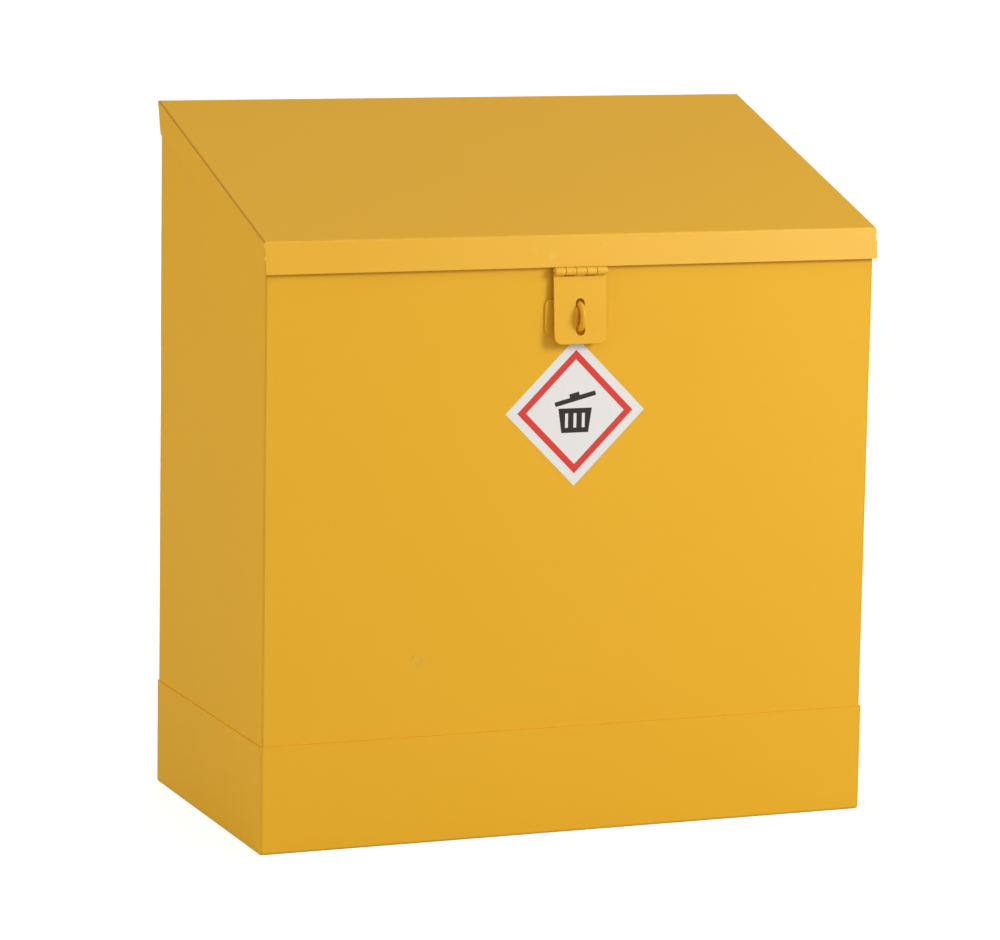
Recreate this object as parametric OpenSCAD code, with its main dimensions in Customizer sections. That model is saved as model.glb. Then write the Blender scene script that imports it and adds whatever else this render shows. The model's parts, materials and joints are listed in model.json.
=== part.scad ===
// Floor-standing storage bin of folded sheet steel: a leak-tight sump tray,
// a body with a sloping mouth, a hinged lid with a hasp, and a padlock staple.
// Front is -Y, up is +Z. The origin is on the floor, under the middle of the bin.

/* [Body] */
// Width of the body over its side walls
body_w = 900; // [760:10:1200]
// Depth of the body from its front wall to its back wall
body_d = 465; // [420:5:600]
// Thickness of the body sheet
sheet_t = 1.5; // [1.2:0.1:2]
// Outer radius of the bend between the front wall and a side wall
wall_bend_r = 4; // [3:0.5:6]

/* [Lid] */
// Height of the lid's top surface at its rear edge
lid_rear_h = 990; // [960:5:1040]
// Height of the lid's top surface at its front edge
lid_front_h = 837; // [800:1:860]
// Thickness of the lid sheet
lid_t = 1.5; // [1.2:0.1:2]
// How far the lid's side lips stand outside the side walls
lid_side_out = 3; // [2.5:0.5:5]
// How far the lid's top edge stands in front of the front wall
lid_front_out = 1.5; // [1.5:0.5:3]
// How far the lid's rear edge stands behind the back wall
lid_rear_out = 7.5; // [7.5:0.5:9]
// Height of the front and side lips
lip_h = 43.5; // [38:0.5:50]
// How far the bottom of the front lip is splayed forward of its top
lip_splay = 6.5; // [6:0.5:8]
// Height of the lid's rear flange, which meets the hinge leaves when the lid is open
rear_flange_h = 7.2; // [5:0.1:7.2]

/* [Sump tray] */
// Height of the sump tray
sump_h = 150; // [100:5:200]
// Thickness of the tray sheet
tray_t = 2.5; // [2:0.5:3]
// Outer radius of the tray's bottom bends
tray_bend_r = 6; // [5:0.5:8]

/* [Rim and braces] */
// Width of the rim angles' flanges around the mouth
rim_w = 20; // [15:1:25]
// Height of the rim angles' legs along the walls
rim_leg = 25; // [20:1:35]
// Distance of each lid brace from the middle of the lid
brace_x = 225; // [120:5:300]
// Depth of the lid braces
brace_h = 15; // [10:1:20]

/* [Lid hinges] */
// Distance from the middle hinge to each outer hinge
hinge_pitch = 320; // [200:10:320]
// Width of one lid hinge
hinge_w = 80; // [60:5:100]
// Length of each hinge leaf from the hinge axis
hinge_leaf_l = 32; // [25:1:40]
// Outer radius of the lid hinge knuckles
hinge_r = 3.5; // [3.5:0.1:3.7]

/* [Hasp and staple] */
// Width of the hasp plate
hasp_w = 77; // [60:1:90]
// Length of the hasp plate below its hinge axis
hasp_l = 100; // [96:1:110]
// Thickness of the hasp plate
hasp_t = 3; // [2.5:0.5:3]
// Radius of the hasp plate's bottom corners
hasp_corner_r = 11; // [6:1:15]
// Outer radius of the hasp knuckles
knuckle_r = 5.5; // [5.5:0.1:5.8]
// How far the free-hanging hasp plate leans out of the vertical
hasp_lean = 5; // [4:1:6]
// Width of the hasp slot
slot_w = 13; // [11:0.5:14]
// Height of the hasp slot
slot_h = 51; // [50:1:52]
// Diameter of the staple's rod
rod_d = 8; // [6:1:8]
// Radius of the staple's eye to the middle of the rod
eye_r = 17.5; // [16:0.5:17.5]
// How far the staple reaches out from the front wall
staple_reach = 27.5; // [26:0.5:30]

/* [Sign] */
// Side of the square sign, which stands on its corner
sign_side = 146; // [100:1:150]
// Height of the middle of the sign
sign_z = 592; // [500:1:595]

/* [Hidden] */
$fn = 48;

// Paint and metal colours
yellow = [0.93, 0.67, 0.20];
steel = [0.72, 0.72, 0.70];
black = [0.12, 0.12, 0.12];
white = [0.92, 0.91, 0.90];

// Clearances: between a knuckle and its neighbour, a pin and its bore, sheets that pass,
// a buffer and the lid, a lid hinge's barrel and its wall, the hasp's barrel and the staple's
// base plate, and the hasp plate's top edge and the barrel
knuckle_gap = 0.6;
pin_fit = 0.05;
pass_gap = 0.5;
buffer_gap = 0.4;
barrel_gap = 0.4;
hasp_gap = 1;
plate_gap = 1.3;
// Overlap of a cutting body past the face that it cuts
over = 1;

// Lid hinges: leaf thickness, pin radius, and the axis's distance from a leaf's outer face
hinge_leaf_t = 1.6;
hinge_pin_r = 1.75;
hinge_knuckles = 5;
hinge_off = hinge_r + barrel_gap;
rim_gap = hinge_leaf_t + pass_gap;

// Slope of the lid, and the lid's rear edge measured along the slope from the hinge axis
slope = atan((lid_rear_h - lid_front_h) / (body_d + lid_front_out + lid_rear_out));
rear_edge = (lid_rear_out - hinge_off + (hinge_off + lid_t) * sin(slope)) / cos(slope);
rear_reach = hinge_off + rear_edge * cos(slope)
           + (rear_flange_h - hinge_off - lid_t) * sin(slope);

// The bin is set back, to the nearest hundredth, so that the origin is under the middle
// of its outermost points
y_steps = 100;
body_y = round(y_steps * (staple_reach - rear_reach) / 2) / y_steps;
front_y = body_y - body_d / 2;
back_y = body_y + body_d / 2;
half_w = body_w / 2;

// Lid line: the straight top surface in the side view, and the mouth of the body under it
lid_y0 = front_y - lid_front_out;
lid_y1 = back_y + lid_rear_out;
function lid_top(y) = lid_front_h + (y - lid_y0) * tan(slope);
function lid_under(y) = lid_top(y) - lid_t / cos(slope);
function mouth(y) = lid_under(y) - rim_gap / cos(slope);

// Lid hinge axis
hinge_y = back_y + hinge_off;
hinge_z = lid_under(hinge_y) - hinge_off / cos(slope);

// Front lip: its bottom corner, the unit step up along it, and the unit step into the bin
lip_len = sqrt(pow(lip_splay, 2) + pow(lip_h, 2));
lip_up = [lip_splay, lip_h] / lip_len;
lip_in = [lip_h, -lip_splay] / lip_len;
lip_foot = [lid_y0 - lip_splay, lid_front_h - lip_h];

// Side lips: the rear end leans forward and its lower corner is cut off
lip_end_h = 34;
lip_end_lean = 7;
lip_end_cut = 5;

// Hasp: pin radius, fixed leaf, and hinge axis
hasp_pin_r = 2.5;
hasp_knuckles = 5;
hasp_leaf_t = 2.5;
hasp_leaf_h = 18;
hasp_head_r = 4.4;
hasp_head_t = 1.5;
staple_plate_t = 3;
hasp_y = front_y - staple_plate_t - hasp_gap - knuckle_r;
hasp_z = lip_foot[1] - pass_gap - knuckle_r;
slot_drop = 63;
strap_inset = 0.1;

// Staple: base plate, backing plate, eye and the ends of its legs inside the wall
staple_plate_w = 96;
staple_plate_h = 48;
staple_corner_r = 8;
backing_w = 70;
backing_h = 60;
backing_t = 3;
staple_z = hasp_z - slot_drop * cos(hasp_lean);
eye_y = front_y - staple_reach + eye_r + rod_d / 2;
rod_hole_r = rod_d / 2 + pin_fit;
leg_stub = 1.5;
leg_end_y = front_y + sheet_t + backing_t + leg_stub;

// Lid braces: top-hat section
brace_t = 1.2;
brace_half_flange = 20;
brace_half_web = 11;
brace_front_gap = 48;
brace_rear_gap = 62;
brace_y0 = front_y + brace_front_gap;
brace_y1 = back_y - brace_rear_gap;

// Rubber buffers on the rim
buffer_w = 30;
buffer_d = 11;
buffer_inset = 90;
buffer_t = rim_gap - buffer_gap;
buffer_x = half_w - buffer_inset;

// Flanges and bends of the back panel, eased edges of the tray, and thickness of the sign
panel_flange = 15;
panel_bend_r = 3;
tray_edge = 1;
tray_corner_r = 2.5;
sign_t = 0.3;

// Inner face of the side walls, and the size of the body that cuts the mouth
leg_x = half_w - sheet_t;
cut_margin = 50;
cut_top = lid_rear_h + cut_margin;

// Draws a side-view outline in [y, z] and gives it a width along X
module along_x(width) {
    rotate([90, 0, 90]) linear_extrude(width, center = true) children();
}

// Draws a front-view outline in [x, z] and gives it a depth along Y
module along_y(depth) {
    rotate([90, 0, 0]) linear_extrude(depth, center = true) children();
}

// The space above the sloping mouth of the body
module above_mouth() {
    y0 = front_y - cut_margin;
    y1 = back_y + cut_margin;
    along_x(body_w + 2 * cut_margin)
        polygon([[y0, mouth(y0)], [y1, mouth(y1)], [y1, cut_top], [y0, cut_top]]);
}

// A strip that follows the mouth from y0 to y1, with its top on the mouth line
module mouth_strip(y0, y1, depth, width) {
    along_x(width)
        polygon([[y0, mouth(y0)], [y1, mouth(y1)], [y1, mouth(y1) - depth], [y0, mouth(y0) - depth]]);
}

// Rectangle with the two corners on its low edge rounded
module low_rounded(width, depth, r) {
    union() {
        translate([-width / 2, r]) square([width, depth - r]);
        translate([-width / 2 + r, 0]) square([width - 2 * r, r + over]);
        for (side = [-1, 1]) translate([side * (width / 2 - r), r]) circle(r);
    }
}

// Rectangle centred on the origin with all its corners rounded
module rounded(width, height, r) {
    union() {
        square([width, height - 2 * r], center = true);
        square([width - 2 * r, height], center = true);
        for (sx = [-1, 1]) for (sy = [-1, 1])
            translate([sx * (width / 2 - r), sy * (height / 2 - r)]) circle(r);
    }
}

// ---- Sump tray ----

// Side or front outline of the tray: rounded bottom bends and an eased top edge
module tray_outline(width, r) {
    difference() {
        low_rounded(width, sump_h, r);
        for (side = [-1, 1]) translate([side * width / 2, sump_h]) rotate(45)
            square(tray_edge * sqrt(2), center = true);
    }
}

module tray_hollow() {
    inner_r = tray_bend_r - tray_t;
    translate([0, body_y, tray_t]) intersection() {
        along_y(body_d) low_rounded(body_w, sump_h, inner_r);
        along_x(body_w) low_rounded(body_d, sump_h, inner_r);
    }
}

module sump_tray() {
    outer_w = body_w + 2 * tray_t;
    outer_d = body_d + 2 * tray_t;
    color(yellow) difference() {
        translate([0, body_y, 0]) intersection() {
            along_y(outer_d) tray_outline(outer_w, tray_bend_r);
            along_x(outer_w) tray_outline(outer_d, tray_bend_r);
            linear_extrude(sump_h) rounded(outer_w, outer_d, tray_corner_r);
        }
        tray_hollow();
    }
}

// ---- Body ----

module rod_holes() {
    for (side = [-1, 1]) translate([0, front_y, staple_z + side * eye_r]) rotate([90, 0, 0])
        cylinder(r = rod_hole_r, h = 2 * (leg_end_y - front_y + over), center = true);
}

module body_wrap() {
    color(yellow) difference() {
        translate([0, front_y, tray_bend_r]) linear_extrude(lid_rear_h) difference() {
            low_rounded(body_w, body_d, wall_bend_r);
            translate([0, sheet_t])
                low_rounded(body_w - 2 * sheet_t, body_d, wall_bend_r - sheet_t);
        }
        above_mouth();
        rod_holes();
    }
}

module back_panel() {
    panel_w = body_w - 2 * sheet_t;
    color(yellow) difference() {
        translate([0, back_y, tray_bend_r]) linear_extrude(lid_rear_h) mirror([0, 1]) difference() {
            low_rounded(panel_w, panel_flange, panel_bend_r);
            translate([0, sheet_t])
                low_rounded(panel_w - 2 * sheet_t, panel_flange, panel_bend_r - sheet_t);
        }
        above_mouth();
    }
}

// ---- Rim of the mouth ----

// Rim angle across the bin, with its leg on the wall face at y and its flange towards dir
module cross_rim(y, dir, width) {
    drop = sheet_t / cos(slope);
    y_leg = y + dir * sheet_t;
    y_edge = y + dir * rim_w;
    along_x(width) polygon([
        [y, mouth(y)], [y_edge, mouth(y_edge)], [y_edge, mouth(y_edge) - drop],
        [y_leg, mouth(y_leg) - drop], [y_leg, mouth(y) - rim_leg], [y, mouth(y) - rim_leg]]);
}

module front_rim() {
    color(yellow) cross_rim(front_y + sheet_t, 1, body_w - 2 * (wall_bend_r + sheet_t));
}

module rear_rim() {
    color(yellow) cross_rim(back_y - sheet_t, -1, body_w - 4 * sheet_t - 2 * panel_bend_r);
}

// Rim angle along a side wall, between the front rim and the rear rim
module side_rim(side) {
    y0 = front_y + sheet_t + rim_w;
    y1 = back_y - sheet_t - rim_w;
    union() {
        translate([side * (leg_x - sheet_t / 2), 0, 0]) mouth_strip(y0, y1, rim_leg, sheet_t);
        translate([side * (leg_x - rim_w / 2), 0, 0])
            mouth_strip(y0, y1, sheet_t / cos(slope), rim_w);
    }
}

module left_rim() { color(yellow) side_rim(-1); }
module right_rim() { color(yellow) side_rim(1); }

module lid_buffers() {
    y0 = front_y + sheet_t + (rim_w - buffer_d) / 2;
    y1 = y0 + buffer_d;
    rise = buffer_t / cos(slope);
    color(black) for (side = [-1, 1]) translate([side * buffer_x, 0, 0]) along_x(buffer_w)
        polygon([[y0, mouth(y0)], [y1, mouth(y1)], [y1, mouth(y1) + rise], [y0, mouth(y0) + rise]]);
}

// ---- Hinges ----

// Knuckles along X, every second one of count, starting with number first
module knuckles(width, count, first, r) {
    pitch = width / count;
    for (i = [first : 2 : count - 1])
        translate([-width / 2 + i * pitch + knuckle_gap / 2, 0, 0]) rotate([0, 90, 0])
            cylinder(r = r, h = pitch - knuckle_gap);
}

// Straps that join a leaf at depth y0 to its own knuckles, from height z0 up to z1
module straps(width, count, first, y0, t, z0, z1) {
    pitch = width / count;
    for (i = [first : 2 : count - 1])
        translate([-width / 2 + i * pitch + knuckle_gap / 2, y0, z0])
            cube([pitch - knuckle_gap, t, z1 - z0]);
}

// Leaf of a lid hinge about its own axis, hanging down, with its flat face at -hinge_off
module lid_hinge_leaf(first) {
    top = -(hinge_r + pass_gap);
    difference() {
        union() {
            knuckles(hinge_w, hinge_knuckles, first, hinge_r);
            straps(hinge_w, hinge_knuckles, first, -hinge_off, hinge_leaf_t, top - over, 0);
            translate([-hinge_w / 2, -hinge_off, -hinge_leaf_l])
                cube([hinge_w, hinge_leaf_t, hinge_leaf_l + top]);
        }
        rotate([0, 90, 0]) cylinder(r = hinge_pin_r + pin_fit, h = 2 * hinge_w, center = true);
    }
}

// Places a lid hinge piece: slot is -1 for the left hinge, 0 for the centre, 1 for the right
module at_hinge(slot) { translate([slot * hinge_pitch, hinge_y, hinge_z]) children(); }

module fixed_leaf(slot) { color(yellow) at_hinge(slot) lid_hinge_leaf(0); }
module moving_leaf(slot) {
    color(yellow) at_hinge(slot) rotate([slope - 90, 0, 0]) lid_hinge_leaf(1);
}
module hinge_pin(slot) {
    color(steel) at_hinge(slot) rotate([0, 90, 0])
        cylinder(r = hinge_pin_r, h = hinge_w, center = true);
}

module left_fixed_leaf() { fixed_leaf(-1); }
module centre_fixed_leaf() { fixed_leaf(0); }
module right_fixed_leaf() { fixed_leaf(1); }
module left_moving_leaf() { moving_leaf(-1); }
module centre_moving_leaf() { moving_leaf(0); }
module right_moving_leaf() { moving_leaf(1); }
module left_hinge_pin() { hinge_pin(-1); }
module centre_hinge_pin() { hinge_pin(0); }
module right_hinge_pin() { hinge_pin(1); }

// ---- Staple and sign on the front wall ----

// A plate in the plane of the front wall, from depth y0 towards the front
module front_plate(width, height, t, r, y0, z) {
    translate([0, y0 - t / 2, z]) along_y(t) rounded(width, height, r);
}

module staple_plate() {
    color(yellow) difference() {
        front_plate(staple_plate_w, staple_plate_h, staple_plate_t, staple_corner_r, front_y, staple_z);
        rod_holes();
    }
}

module staple_backing_plate() {
    color(yellow) difference() {
        front_plate(backing_w, backing_h, backing_t, staple_corner_r,
                    front_y + sheet_t + backing_t, staple_z);
        rod_holes();
    }
}

module staple_loop() {
    rod_r = rod_d / 2;
    color(yellow) union() {
        translate([0, eye_y, staple_z]) rotate([0, 90, 0]) rotate([0, 0, 180])
            rotate_extrude(angle = 180) translate([eye_r, 0]) circle(rod_r);
        for (side = [-1, 1]) translate([0, leg_end_y, staple_z + side * eye_r]) rotate([90, 0, 0])
            cylinder(r = rod_r, h = leg_end_y - eye_y);
    }
}

module sign_sheet() {
    color(white) translate([0, front_y - sign_t / 2, sign_z]) along_y(sign_t)
        rotate(45) square(sign_side, center = true);
}

// ---- Lid ----

// Top sheet, front lip and rear flange in the side view
module lid_section() {
    run = [cos(slope), sin(slope)];
    down = [sin(slope), -cos(slope)];
    front_top = [lid_y0, lid_front_h];
    rear_top = [lid_y1, lid_rear_h];
    union() {
        polygon([front_top, rear_top, rear_top + lid_t * down, front_top + lid_t * down]);
        polygon([front_top, lip_foot, lip_foot + lid_t * lip_in, front_top + lid_t * lip_in]);
        polygon([rear_top, rear_top + rear_flange_h * down,
                 rear_top + rear_flange_h * down - lid_t * run, rear_top - lid_t * run]);
        // The weld that closes the fold between the top and the front lip
        polygon([front_top, front_top + lid_t * lip_in, front_top + 2 * lid_t * run]);
    }
}

// Outline of a side lip
module side_lip() {
    foot_y = lid_y1 - lip_end_lean - lip_end_cut;
    polygon([[lid_y0, lid_front_h], lip_foot, [foot_y, lid_top(foot_y) - lip_h],
             [lid_y1 - lip_end_lean, lid_rear_h - lip_end_h], [lid_y1, lid_rear_h]]);
}

module lid_shell() {
    lid_half = half_w + lid_side_out;
    color(yellow) union() {
        along_x(2 * lid_half) lid_section();
        for (side = [-1, 1]) translate([side * (lid_half - lid_t / 2), 0, 0])
            along_x(lid_t) side_lip();
    }
}

module lid_brace(side) {
    t = brace_t;
    flange = brace_half_flange;
    web = brace_half_web;
    h = brace_h;
    length = (brace_y1 - brace_y0) / cos(slope);
    color(yellow) translate([side * brace_x, brace_y1, lid_under(brace_y1)]) rotate([slope, 0, 0])
        rotate([90, 0, 0]) linear_extrude(length) polygon([
            [-flange, 0], [-web + t, 0], [-web + t, t - h], [web - t, t - h], [web - t, 0],
            [flange, 0], [flange, -t], [web, -t], [web, -h], [-web, -h], [-web, -t], [-flange, -t]]);
}

module left_lid_brace() { lid_brace(-1); }
module right_lid_brace() { lid_brace(1); }

// ---- Hasp ----

module at_hasp() { translate([0, hasp_y, hasp_z]) children(); }

module hasp_bore() {
    rotate([0, 90, 0]) cylinder(r = hasp_pin_r + pin_fit, h = 2 * hasp_w, center = true);
}

// Fixed leaf behind the front lip, whose straps run down to the second and fourth knuckles
module hasp_leaf() {
    foot = lip_foot + lid_t * lip_in - [hasp_y, hasp_z];
    back = foot + hasp_leaf_t * lip_in;
    pitch = hasp_w / hasp_knuckles;
    color(yellow) at_hasp() difference() {
        union() {
            along_x(hasp_w)
                polygon([foot, foot + hasp_leaf_h * lip_up, back + hasp_leaf_h * lip_up, back]);
            knuckles(hasp_w, hasp_knuckles, 1, knuckle_r);
            for (side = [-1, 1]) translate([side * pitch, 0, 0]) along_x(pitch - knuckle_gap)
                polygon([foot, back, [knuckle_r - strap_inset, 0], [hasp_pin_r, 0]]);
        }
        hasp_bore();
    }
}

// Hasp plate: rounded at the bottom, with a slot that passes over the staple
module hasp_plate() {
    top = -(knuckle_r + plate_gap);
    slot_r = slot_w / 2;
    slot_half = slot_h / 2 - slot_r;
    color(yellow) at_hasp() rotate([-hasp_lean, 0, 0]) difference() {
        union() {
            knuckles(hasp_w, hasp_knuckles, 0, knuckle_r);
            straps(hasp_w, hasp_knuckles, 0, knuckle_r - hasp_t, hasp_t, top - over, 0);
            translate([0, knuckle_r - hasp_t / 2, -hasp_l]) along_y(hasp_t)
                low_rounded(hasp_w, hasp_l + top, hasp_corner_r);
        }
        hasp_bore();
        translate([0, knuckle_r - hasp_t / 2, -slot_drop]) along_y(hasp_t + 2 * over) union() {
            square([slot_w, 2 * slot_half], center = true);
            for (side = [-1, 1]) translate([0, side * slot_half]) circle(slot_r);
        }
    }
}

module hasp_pin() {
    color(steel) at_hasp() rotate([0, 90, 0]) union() {
        cylinder(r = hasp_pin_r, h = hasp_w + over, center = true);
        for (side = [-1, 1])
            translate([0, 0, side * (hasp_w + hasp_head_t - knuckle_gap) / 2])
                cylinder(r = hasp_head_r, h = hasp_head_t, center = true);
    }
}

sump_tray();
body_wrap();
back_panel();
front_rim();
rear_rim();
left_rim();
right_rim();
lid_buffers();
left_fixed_leaf();
centre_fixed_leaf();
right_fixed_leaf();
left_hinge_pin();
centre_hinge_pin();
right_hinge_pin();
staple_plate();
staple_loop();
staple_backing_plate();
sign_sheet();
lid_shell();
left_lid_brace();
right_lid_brace();
left_moving_leaf();
centre_moving_leaf();
right_moving_leaf();
hasp_leaf();
hasp_plate();
hasp_pin();
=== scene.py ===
import json
import math

import bmesh
import bpy
from mathutils import Matrix, Vector
from mathutils.geometry import tessellate_polygon


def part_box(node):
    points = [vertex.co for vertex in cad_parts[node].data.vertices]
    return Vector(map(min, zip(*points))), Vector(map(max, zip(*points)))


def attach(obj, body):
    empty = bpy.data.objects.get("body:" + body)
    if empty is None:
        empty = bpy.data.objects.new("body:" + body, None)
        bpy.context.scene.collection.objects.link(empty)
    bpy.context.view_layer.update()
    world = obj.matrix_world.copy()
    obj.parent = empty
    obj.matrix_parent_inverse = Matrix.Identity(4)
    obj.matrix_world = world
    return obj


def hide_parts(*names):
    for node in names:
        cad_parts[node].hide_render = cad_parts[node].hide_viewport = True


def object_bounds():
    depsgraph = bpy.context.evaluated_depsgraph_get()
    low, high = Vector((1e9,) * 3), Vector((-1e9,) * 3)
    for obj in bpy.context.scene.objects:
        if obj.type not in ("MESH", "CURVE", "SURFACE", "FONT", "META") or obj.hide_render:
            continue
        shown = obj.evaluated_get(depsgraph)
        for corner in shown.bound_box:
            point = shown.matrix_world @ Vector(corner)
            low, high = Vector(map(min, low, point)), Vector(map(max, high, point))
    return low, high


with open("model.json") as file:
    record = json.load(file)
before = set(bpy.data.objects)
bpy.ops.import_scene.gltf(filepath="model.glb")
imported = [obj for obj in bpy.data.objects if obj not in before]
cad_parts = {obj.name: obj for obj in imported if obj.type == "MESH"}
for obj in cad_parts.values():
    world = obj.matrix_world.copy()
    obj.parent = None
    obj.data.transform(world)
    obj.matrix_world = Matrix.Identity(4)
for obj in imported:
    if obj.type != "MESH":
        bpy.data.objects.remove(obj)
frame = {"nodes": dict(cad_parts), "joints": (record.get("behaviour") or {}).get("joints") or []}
cadLow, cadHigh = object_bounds()
print("frame loaded")

mm = 0.001
trayLow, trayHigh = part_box("sump_tray")
wallLow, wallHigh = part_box("body_wrap")
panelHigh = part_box("back_panel")[1]
lidLow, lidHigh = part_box("lid_shell")
haspAxis = Vector(frame["joints"][1]["pos_m"])
halfWidth = wallHigh.x
frontY = wallLow.y
backY = panelHigh.y

# sizes of the lid's folded sheet; its slope comes from the frame
lidShape = {
    "sheet": 1.5 * mm, "frontOut": 1.5 * mm, "rearOut": 7.5 * mm,
    "lipHeight": 43.5 * mm, "lipSplay": 6.5 * mm, "rearFlange": 7.2 * mm,
    "lipEnd": 34 * mm, "lipEndLean": 7 * mm, "lipEndCut": 5 * mm,
    "sideBend": 2.4 * mm, "frontBend": 2.2 * mm, "rearBend": 1.6 * mm,
    # the fold values paint shade on the side folds and a highlight along the front and rear folds; the bead
    # shine paints a glint on the corner beads
    "cornerWeld": 1.0 * mm, "ease": 0.45 * mm, "foldTint": 0.85, "foldShine": 0.9,
    "beadStep": 1.1 * mm, "beadWidth": 1.5 * mm, "beadHeight": 0.75 * mm, "beadSink": 0.45 * mm,
    "beadSpans": ((2 * mm, 7 * mm), (20 * mm, 24 * mm)), "beadShine": 2.8, "beadSeed": 3,
    "marks": ((-66 * mm, 21 * mm), (-40 * mm, 28 * mm), (36 * mm, 15 * mm)),
    "markRadius": 8 * mm, "markHeight": 0.14 * mm,
}
lidFront = Vector((0, frontY - lidShape["frontOut"], lidLow.z + lidShape["lipHeight"]))
lidRear = Vector((0, backY + lidShape["rearOut"], lidHigh.z))
lidRun = (lidRear - lidFront).normalized()
lidDown = Vector((0, lidRun.z, -lidRun.y))
slope = math.atan2(lidRun.z, lidRun.y)


def lidTop(y):
    return lidFront.z + (y - lidFront.y) * math.tan(slope)


# adds a node; a link is made where a socket is given, and a value is set otherwise
def addNode(tree, kind, links=None, **settings):
    node = tree.nodes.new(kind)
    for name, value in settings.items():
        setattr(node, name, value)
    for socket, source in (links or {}).items():
        if isinstance(source, bpy.types.NodeSocket):
            tree.links.new(source, node.inputs[socket])
        else:
            node.inputs[socket].default_value = source
    return node


def calc(tree, operation, first, second=0.0):
    return addNode(tree, "ShaderNodeMath", {0: first, 1: second}, operation=operation).outputs[0]


def vector(tree, x=0.0, y=0.0, z=0.0):
    return addNode(tree, "ShaderNodeCombineXYZ", {0: x, 1: y, 2: z}).outputs[0]


def blend(tree, share, first, second):
    links = {0: share, 6: first, 7: second}
    return addNode(tree, "ShaderNodeMix", links, data_type="RGBA").outputs[2]


def newTree(name, kind, inputs, outputs):
    tree = bpy.data.node_groups.new(name, kind)
    for label, sort, value in inputs:
        socket = tree.interface.new_socket(label, in_out="INPUT", socket_type="NodeSocket" + sort)
        if value is not None:
            socket.default_value = value
    for label, sort in outputs:
        tree.interface.new_socket(label, in_out="OUTPUT", socket_type="NodeSocket" + sort)
    return tree, addNode(tree, "NodeGroupInput").outputs, addNode(tree, "NodeGroupOutput").inputs


def newGeometryTree(name, inputs):
    inputs = [("Geometry", "Geometry", None)] + inputs + [("Material", "Material", None)]
    return newTree(name, "GeometryNodeTree", inputs, [("Geometry", "Geometry")])


# slow drift of the colour over a face
def buildMottle():
    inputs = [("Color", "Color", None), ("Shade", "Color", None),
              ("Scale", "Float", 3.0), ("Amount", "Float", 0.2)]
    tree, given, result = newTree("softMottle", "ShaderNodeTree", inputs, [("Color", "Color")])
    spot = addNode(tree, "ShaderNodeTexCoord").outputs["Object"]
    broad = addNode(tree, "ShaderNodeTexNoise",
                    {"Vector": spot, "Scale": given["Scale"], "Detail": 4.0, "Roughness": 0.6})
    share = calc(tree, "MULTIPLY", broad.outputs[0], given["Amount"])
    tree.links.new(blend(tree, share, given["Color"], given["Shade"]), result["Color"])
    return tree


# fine skin of the finish as a height, and a mask that varies the roughness
def buildGrain():
    inputs = [("Scale", "Float", 500.0), ("Fine Share", "Float", 0.3)]
    tree, given, result = newTree("surfaceGrain", "ShaderNodeTree", inputs,
                                  [("Height", "Float"), ("Mask", "Float")])
    spot = addNode(tree, "ShaderNodeTexCoord").outputs["Object"]
    coarse = addNode(tree, "ShaderNodeTexNoise",
                     {"Vector": spot, "Scale": given["Scale"], "Detail": 2.0}).outputs[0]
    fineScale = calc(tree, "MULTIPLY", given["Scale"], 4.3)
    fine = addNode(tree, "ShaderNodeTexNoise",
                   {"Vector": spot, "Scale": fineScale, "Detail": 1.0}).outputs[0]
    height = calc(tree, "ADD", coarse, calc(tree, "MULTIPLY", fine, given["Fine Share"]))
    tree.links.new(height, result["Height"])
    tree.links.new(coarse, result["Mask"])
    return tree


# painted shade along the folds that turn sideways (the same darkening gives the plug mark its darker tone),
# then lighter
# patches from a second face value: worn paint on the eased edges and painted highlights on cross folds and
# weld beads
def buildWearShadeAndHighlight():
    inputs = [("Color", "Color", None), ("Fold Shade And Mark Color", "Color", None), ("Worn And Highlight Color", "Color", None),
              ("Scale", "Float", 60.0), ("Amount", "Float", 0.5)]
    tree, given, result = newTree("edgeWear", "ShaderNodeTree", inputs,
                                  [("Color", "Color"), ("Mask", "Float")])
    spot = addNode(tree, "ShaderNodeTexCoord").outputs["Object"]
    edge = addNode(tree, "ShaderNodeAttribute", attribute_name="edge").outputs["Fac"]
    fold = addNode(tree, "ShaderNodeAttribute", attribute_name="fold").outputs["Fac"]
    folded = blend(tree, fold, given["Color"], given["Fold Shade And Mark Color"])
    patches = addNode(tree, "ShaderNodeTexNoise",
                      {"Vector": spot, "Scale": given["Scale"], "Detail": 5.0}).outputs[0]
    spread = addNode(tree, "ShaderNodeMapRange", {"Value": patches, "From Min": 0.38, "From Max": 0.72})
    mask = calc(tree, "MULTIPLY", calc(tree, "MULTIPLY", edge, spread.outputs[0]), given["Amount"])
    tree.links.new(blend(tree, mask, folded, given["Worn And Highlight Color"]), result["Color"])
    tree.links.new(mask, result["Mask"])
    return tree


# thin dust that lies on what faces up
def buildDust():
    inputs = [("Color", "Color", None), ("Dust Color", "Color", None), ("Amount", "Float", 0.1)]
    tree, given, result = newTree("thinDust", "ShaderNodeTree", inputs,
                                  [("Color", "Color"), ("Mask", "Float")])
    coords = addNode(tree, "ShaderNodeTexCoord")
    up = addNode(tree, "ShaderNodeSeparateXYZ", {0: coords.outputs["Normal"]}).outputs[2]
    flat = addNode(tree, "ShaderNodeMapRange", {"Value": up, "From Min": 0.4, "From Max": 1.0})
    specks = addNode(tree, "ShaderNodeTexNoise",
                     {"Vector": coords.outputs["Object"], "Scale": 14.0, "Detail": 8.0,
                      "Roughness": 0.7}).outputs[0]
    mask = calc(tree, "MULTIPLY", calc(tree, "MULTIPLY", flat.outputs[0], specks), given["Amount"])
    tree.links.new(blend(tree, mask, given["Color"], given["Dust Color"]), result["Color"])
    tree.links.new(mask, result["Mask"])
    return tree


effects = {"mottle": buildMottle(), "grain": buildGrain(), "wearAndPaintedLight": buildWearShadeAndHighlight(), "dust": buildDust()}


def addEffect(tree, name, links):
    return addNode(tree, "ShaderNodeGroup", links, node_tree=effects[name])


def rgba(color):
    return (*color, 1.0)


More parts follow.
